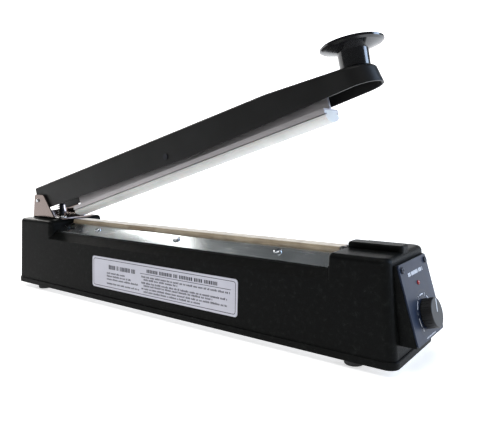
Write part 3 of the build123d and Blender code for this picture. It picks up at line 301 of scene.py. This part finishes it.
FINISHES = {
    hammered("hammertone_black"): "housing",
    enamel("arm_enamel"): "arm",
    gloss("handle_gloss"): "handle_knob",
    enamel("knob_satin", 0.008): "timer_knob",
    polished("cover_steel", (0.7, 0.74, 0.75), 0.18, 0.05): "front_cover_plate rear_cover_plate",
    # hinge bracket: the dark brown base colour is a painted reflection of a dim brown room,
    # darker and browner than bare chrome
    polished("chrome_with_painted_reflection", (0.24, 0.195, 0.18), 0.12): "hinge_bracket",
    polished("bright_screw", (0.66, 0.68, 0.7), 0.16):
        "cover_plate_screws bracket_screws hinge_pin pin_washers handle_screw",
    plated("zinc"): "base_plate transformer_strap switch_bracket spring_seat base_screws "
                    "foot_screws transformer_screws switch_screws board_screws bar_screws "
                    "clamp_screws",
    brushed("extruded_aluminium", (0.5, 0.475, 0.485), 0.4): "pressure_bar",
    brushed("bar_aluminium", (0.55, 0.55, 0.56)): "sealing_bar pot_shaft potentiometer",
    brushed("ribbon_nichrome", (0.4, 0.36, 0.34), 0.32): "heating_element",
    brushed("spring_leaf_steel", (0.56, 0.56, 0.57), 0.25): "switch_lever",
    plated("blued_spring", (0.05, 0.055, 0.065), 0.3): "return_spring",
    plated("machined_brass", (0.66, 0.47, 0.2), 0.28): "element_clamps pot_nut",
    plated("blackened_screw", (0.045, 0.047, 0.055), 0.4): "panel_screws rocking_pin",
    rubber("silicone_white", (0.72, 0.715, 0.69), 0.5, 0.15, 0.04,
           Subsurface_Weight=0.15, Subsurface_Scale=0.002): "silicone_strip",
    rubber("foot_rubber", (0.016, 0.016, 0.017), 0.7): "feet cord_gland",
    rubber("lead_red_sleeve", (0.36, 0.02, 0.02), 0.45): "power_leads",
    rubber("lead_black_sleeve", (0.02, 0.02, 0.022), 0.45): "control_leads",
    glass_cloth("woven_glass", (0.5, 0.48, 0.4), (0.8, 0.78, 0.7), 1400): "insulation_strip",
    matt_plastic("bakelite_brown", (0.09, 0.035, 0.018), 0.35): "clamp_posts",
    matt_plastic("nylon_black", (0.02, 0.02, 0.021)): "plunger switch_case rock_spacers",
    matt_plastic("nylon_red", (0.5, 0.03, 0.02)): "switch_button",
    matt_plastic("nylon_natural", (0.7, 0.68, 0.62)): "transformer_bobbin board_standoffs",
    matt_plastic("relay_blue", (0.03, 0.1, 0.35), 0.4): "relay",
    matt_plastic("sleeve_black", (0.02, 0.02, 0.05), 0.3): "capacitors",
    matt_plastic("terminal_green", (0.05, 0.3, 0.1)): "terminal_block",
    laminated("core_laminations"): "transformer_core",
    winding("coil_tape"): "transformer_coil",
    board("solder_mask"): "timer_board",
    lamp("led_lens"): "led",
    foil("label_foil", (0.6, 0.6, 0.67)): "front_label",
    ink("white_ink", (0.62, 0.64, 0.68)): "dial_marks knob_pointer",
}


def panel_enamel():
    """Satin blue-grey printed panel."""
    f = Finish("panel_enamel", rough=0.36, Specular_IOR_Level=0.16)
    f.colour(f.noise(90, 5.0), (0.3, (0.009, 0.015, 0.032)), (0.75, (0.017, 0.026, 0.052)))
    f.roughness(f.noise(180, 4.0), 0.28, 0.44)
    return f.bump(f.noise(1500, 2.0), 0.03 * MM, 0.3)


FINISHES[panel_enamel()] = "panel_plate"
for finish, names in FINISHES.items():
    for name in names.split():
        NODES[name].data.materials.clear()
        NODES[name].data.materials.append(finish.material)


# ---- mesh helpers ---------------------------------------------------------------------------
def linked(name, data):
    """New object in the scene's own collection."""
    made = bpy.data.objects.new(name, data)
    bpy.context.scene.collection.objects.link(made)
    return made


def facing(right, up, out, at):
    """Matrix that turns local x, y and z to right, up and out, at a place."""
    matrix = Matrix((right, up, out)).transposed().to_4x4()
    matrix.translation = at
    return matrix


def mesh_piece(name, vertices, faces, finish, smooth=True):
    mesh = bpy.data.meshes.new(name)
    mesh.from_pydata([tuple(v) for v in vertices], [], faces)
    mesh.validate()
    piece = linked(name, mesh)
    mesh.materials.append(finish.material)
    for polygon in mesh.polygons:
        polygon.use_smooth = smooth
    return piece


def plates(name, rectangles, origin, right, up, thickness, finish):
    """Thin printed rectangles (u0, u1, v0, v1) standing off a plane by their thickness."""
    out = right.cross(up).normalized()
    vertices, faces = [], []
    for u0, u1, v0, v1 in rectangles:
        base = len(vertices)
        for lift in (0.0, thickness):
            for u, v in ((u0, v0), (u1, v0), (u1, v1), (u0, v1)):
                vertices.append(origin + right * u + up * v + out * lift)
        faces.append(tuple(base + i for i in (4, 5, 6, 7)))
        faces.append(tuple(base + i for i in (3, 2, 1, 0)))
        faces += [(base + i, base + (i + 1) % 4, base + 4 + (i + 1) % 4, base + 4 + i)
                  for i in range(4)]
    return mesh_piece(name, vertices, faces, finish, smooth=False)


# ---- printing: plain bars stand in for all wording ------------------------------------------
def face_frame(node, direction, right):
    """Corner, right, up, width and height of the node's flat face that looks along direction."""
    mesh = NODES[node].data
    toward = Vector(direction).normalized()
    biggest = max((p for p in mesh.polygons if p.normal.dot(toward) > 0.9), key=lambda p: p.area)
    out, right = biggest.normal.copy(), Vector(right)
    up = out.cross(right).normalized()
    flat = [mesh.vertices[i].co for p in mesh.polygons if p.normal.dot(out) > 0.9999
            for i in p.vertices]
    level = max(v.dot(out) for v in flat)
    flat = [v for v in flat if level - v.dot(out) < 0.02 * MM]
    across = [v.dot(right) for v in flat]
    along = [v.dot(up) for v in flat]
    corner = right * min(across) + up * min(along) + out * level
    return corner, right, up, max(across) - min(across), max(along) - min(along)


def bar_text(u0, u1, v, height, letter, ragged=0.25):
    """A printed line as a row of small blocks, broken up as words are."""
    bars, u, word = [], u0, random.randint(3, 8)
    while u < u1:
        width = letter * random.uniform(0.55, 1.0)
        top = height * random.choice((1.0, 1.0, 1.0, 1.0 + ragged, 1.0 - ragged * 0.6))
        bars.append((u, min(u + width, u1), v, v + top))
        u += width + letter * 0.35
        word -= 1
        if word == 0:
            u += letter * 0.9
            word = random.randint(2, 9)
    return bars


def ring_band(centre, right, up, radius, width, lift, steps=96):
    """Flat ring about a centre."""
    vertices, faces = [], []
    out = right.cross(up)
    for i in range(steps + 1):
        turn = math.radians(360 * i / steps)
        ray = right * math.sin(turn) + up * math.cos(turn)
        for r in (radius - width / 2, radius + width / 2):
            vertices.append(centre + ray * r + out * lift)
    for i in range(steps):
        a = 2 * i
        faces.append((a, a + 1, a + 3, a + 2))
    return vertices, faces


def rounded_border(w, h, inset, line, corner, steps=8):
    """Ring of quads round a rectangle with rounded corners, in (u, v)."""
    rings = []
    for grow in (0.0, line):
        r = corner - grow
        x0, y0, x1, y1 = inset + grow, inset + grow, w - inset - grow, h - inset - grow
        ring = []
        for cx, cy, turn in ((x1 - r, y1 - r, 0), (x0 + r, y1 - r, 90), (x0 + r, y0 + r, 180),
                             (x1 - r, y0 + r, 270)):
            for i in range(steps + 1):
                a = math.radians(turn + 90 * i / steps)
                ring.append((cx + r * math.cos(a), cy + r * math.sin(a)))
        rings.append(ring)
    n = len(rings[0])
    return rings[0] + rings[1], [(i, (i + 1) % n, n + (i + 1) % n, n + i) for i in range(n)]


# layouts are in millimetres, u to the right and v up from the face's lower left corner
INK_T = 0.03 * MM
BODY_LINE_H = 1.5
BORDER_INSET, BORDER_W, BORDER_R = 1.9 * MM, 0.55 * MM, 2.6 * MM
label_ink = ink("label_ink", (0.035, 0.035, 0.05))
corner, right, up, label_w, label_h = face_frame("front_label", (0, -1, 0.05), (1, 0, 0))
out = right.cross(up)

rows = bar_text(26, 66, 20.2, 4.2, 1.7, 0.05)
for v, end in ((15.4, 50), (12.4, 59), (9.4, 70), (5.0, 71)):
    rows += bar_text(23, end, v, BODY_LINE_H, 1.0)
rows += bar_text(81, 169, 23.4, 3.2, 1.8, 0.05)
rows.append((72, 182, 21.7, 22.2))
for v, start, end in ((18.2, 74, 181), (15.6, 77, 121), (12.4, 74, 178), (9.9, 77, 162),
                      (6.9, 74, 178), (4.1, 77, 148)):
    rows += bar_text(start, end, v, BODY_LINE_H, 1.05)
label_print = plates("label_print", [tuple(x * MM for x in row) for row in rows],
                     corner, right, up, INK_T, label_ink)
border_points, border_faces = rounded_border(label_w, label_h, BORDER_INSET,
                                             BORDER_W, BORDER_R)
label_border = mesh_piece("label_border",
                          [corner + right * u + up * v + out * INK_T for u, v in border_points],
                          border_faces, label_ink, smooth=False)
for piece in (label_print, label_border):
    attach(piece, "base")

# the panel: a plain heading bar, a dial ring and its numbers, a foot line
corner, right, up, *_ = face_frame("panel_plate", (0.96, 0, 0.27), (0, 1, 0))
out = right.cross(up)
RING_R, RING_W = 16.8 * MM, 0.5 * MM
white = ink("panel_white_ink", (0.62, 0.64, 0.68))
pivot = Vector(next(j["pos_m"] for j in frame["joints"] if j["name"] == "timer_knob_turn"))
middle = pivot + out * (corner - pivot).dot(out)
rows = bar_text(13, 41, 46.4, 2.6, 1.4, 0.0) + bar_text(18, 36, 1.2, 0.9, 0.8)
panel_print = plates("panel_print", [tuple(x * MM for x in row) for row in rows],
                     corner, right, up, INK_T, white)
dial_points, dial_faces = ring_band(middle, right, up, RING_R, RING_W, INK_T)
dial_ring = mesh_piece("dial_ring", dial_points, dial_faces,
                       ink("dial_shadow", (0.012, 0.014, 0.02)), smooth=False)
for piece in (panel_print, dial_ring):
    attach(piece, "base")

NUMBERS, SWEEP, NUMBER_R, NUMBER_H = 6, 260.0, 14.0 * MM, 2.4 * MM
for i in range(NUMBERS):
    turn = math.radians(-SWEEP / 2 + SWEEP * i / (NUMBERS - 1))
    spot = middle + (right * math.sin(turn) + up * math.cos(turn)) * NUMBER_R + out * INK_T
    text = bpy.data.curves.new(f"dial_number_{i}", "FONT")
    text.body = str(i)
    text.size = NUMBER_H * 1.35
    text.align_x, text.align_y = "CENTER", "CENTER"
    holder = linked(f"dial_number_{i}", text)
    placed = facing(right, up, out, spot)
    holder.matrix_world = placed
    bpy.context.view_layer.update()
    mesh = bpy.data.meshes.new_from_object(holder)
    mesh.transform(placed)
    bpy.data.objects.remove(holder)
    number = linked(f"dial_number_{i}", mesh)
    mesh.materials.clear()
    mesh.materials.append(white.material)
    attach(number, "base")

# ---- PTFE cloth over the sealing bar --------------------------------------------------------
cloth_lo, cloth_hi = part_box("ptfe_cloth")
CLOTH_W, CLOTH_L = 24.0 * MM, 336.0 * MM
CLOTH_STEPS, CLOTH_ACROSS = 340, 28
HALF_TOP, EDGE_R = 6.2 * MM, 1.3 * MM      # flat half width on the bar, bend over its edge
RUFFLE = 0.06 * MM


def cloth_section(s, x):
    """Point of the draped section at distance s from the cloth's middle line."""
    side = 1 if s > 0 else -1
    s = abs(s)
    bend = EDGE_R * math.pi / 2
    wave = noise.noise(Vector((x * 55, side * 3.1, 0.0)))
    slow = noise.noise(Vector((x * 17, side * 7.7, 4.0)))
    if s <= HALF_TOP:
        return side * s, 0.0
    if s <= HALF_TOP + bend:
        a = (s - HALF_TOP) / EDGE_R
        return side * (HALF_TOP + EDGE_R * math.sin(a)), -EDGE_R * (1 - math.cos(a))
    hang = s - HALF_TOP - bend
    lean = 0.10 + 0.22 * slow + 0.16 * wave
    lean += 0.25 * (hang / (4 * MM)) * wave
    return (side * (HALF_TOP + EDGE_R + hang * max(0.0, math.sin(lean))),
            -EDGE_R - hang * math.cos(lean))


vertices, faces = [], []
for i in range(CLOTH_STEPS + 1):
    x = cloth_lo.x + CLOTH_L * i / CLOTH_STEPS
    for j in range(CLOTH_ACROSS + 1):
        s = CLOTH_W * (j / CLOTH_ACROSS - 0.5)
        y, z = cloth_section(s, x)
        ruffle = RUFFLE * noise.noise(Vector((x * 130, y * 300, 9.0)))
        vertices.append((x, y, cloth_hi.z + z + ruffle - RUFFLE))
row = CLOTH_ACROSS + 1
for i in range(CLOTH_STEPS):
    for j in range(CLOTH_ACROSS):
        a = i * row + j
        faces.append((a, a + row, a + row + 1, a + 1))
ptfe = glass_cloth("ptfe_glass_cloth", (0.27, 0.2, 0.13), (0.58, 0.48, 0.34), 650)
cloth = mesh_piece("ptfe_cloth_sheet", vertices, faces, ptfe)
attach(cloth, "base")
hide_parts("ptfe_cloth")

# ---- return spring: a copy of the coil in place of the hidden original ----------------------
coil = linked("return_spring_coil", NODES["return_spring"].data.copy())
coil.matrix_world = NODES["return_spring"].matrix_world
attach(coil, "base")
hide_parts("return_spring")
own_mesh(coil)

# ---- stage, light and camera ----------------------------------------------------------------
def plane(name, width, depth, place, turn, finish):
    x, y = width / 2, depth / 2
    piece = mesh_piece(name, [(-x, -y, 0), (x, -y, 0), (x, y, 0), (-x, y, 0)],
                       [(0, 1, 2, 3)], finish)
    piece.location, piece.rotation_euler = place, turn


def paper(name, glow):
    """White studio paper, lit a little from behind so that it stays white."""
    f = Finish(name, rough=0.9, Specular_IOR_Level=0.1)
    f.colour(f.noise(3.0, 3.0), (0.3, tone(0.86)), (0.7, tone(0.88)))
    f.shader.inputs["Emission Color"].default_value = (1, 1, 1, 1)
    f.shader.inputs["Emission Strength"].default_value = glow
    return f


YAW, PITCH, ROLL = 0.6569, 0.11479, -0.01798
WALL_AWAY, WALL_DEPTH, STAGE = 3.0, 2.6, 24.0
plane("floor", STAGE, STAGE, (0, 0, 0), (0, 0, 0), paper("floor_paper", 0.62))
plane("wall", STAGE, WALL_DEPTH, (-WALL_AWAY * math.sin(YAW), WALL_AWAY * math.cos(YAW), 0),
      (math.pi / 2, 0, YAW), paper("wall_paper", 1.2))


def softbox(name, place, aim, size, power, colour=(1, 1, 1)):
    lamp_data = bpy.data.lights.new(name, "AREA")
    lamp_data.shape, lamp_data.size, lamp_data.size_y = "RECTANGLE", *size
    lamp_data.energy, lamp_data.color = power, colour
    lamp_object = linked(name, lamp_data)
    lamp_object.location = place
    lamp_object.rotation_euler = (Vector(aim) - Vector(place)).to_track_quat("-Z", "Y").to_euler()


softbox("window_left", (-2.1, 0.6, 1.1), (-0.1, 0, 0.08), (1.2, 1.1), 34, (1.0, 0.985, 0.95))
softbox("sky_right", (1.5, 1.0, 0.7), (0.1, 0, 0.1), (0.8, 1.2), 30, (0.58, 0.74, 1.0))
softbox("ceiling", (0.2, -0.6, 2.6), (0, 0, 0.05), (2.0, 2.0), 38)

world = bpy.data.worlds.new("studio")
world.use_nodes = True
world.node_tree.nodes["Background"].inputs["Color"].default_value = (0.94, 0.96, 1.0, 1)
world.node_tree.nodes["Background"].inputs["Strength"].default_value = 0.12
bpy.context.scene.world = world
bpy.context.scene.view_settings.view_transform = "Standard"

CAMERA_AT = Vector((0.35114, -0.37144, 0.15422))
SENSOR_MM, LENS_MM = 36.0, 39.98
forward = Vector((-math.sin(YAW) * math.cos(PITCH), math.cos(YAW) * math.cos(PITCH),
                  -math.sin(PITCH)))
level_right = Vector((math.cos(YAW), math.sin(YAW), 0))
level_up = level_right.cross(forward)
cam_right = level_right * math.cos(ROLL) + level_up * math.sin(ROLL)
cam_up = level_up * math.cos(ROLL) - level_right * math.sin(ROLL)
camera_data = bpy.data.cameras.new("camera")
camera_data.sensor_width, camera_data.lens = SENSOR_MM, LENS_MM
camera_data.clip_start = 0.01
camera = linked("camera", camera_data)
camera.matrix_world = facing(cam_right, cam_up, -forward, CAMERA_AT)
bpy.context.scene.camera = camera
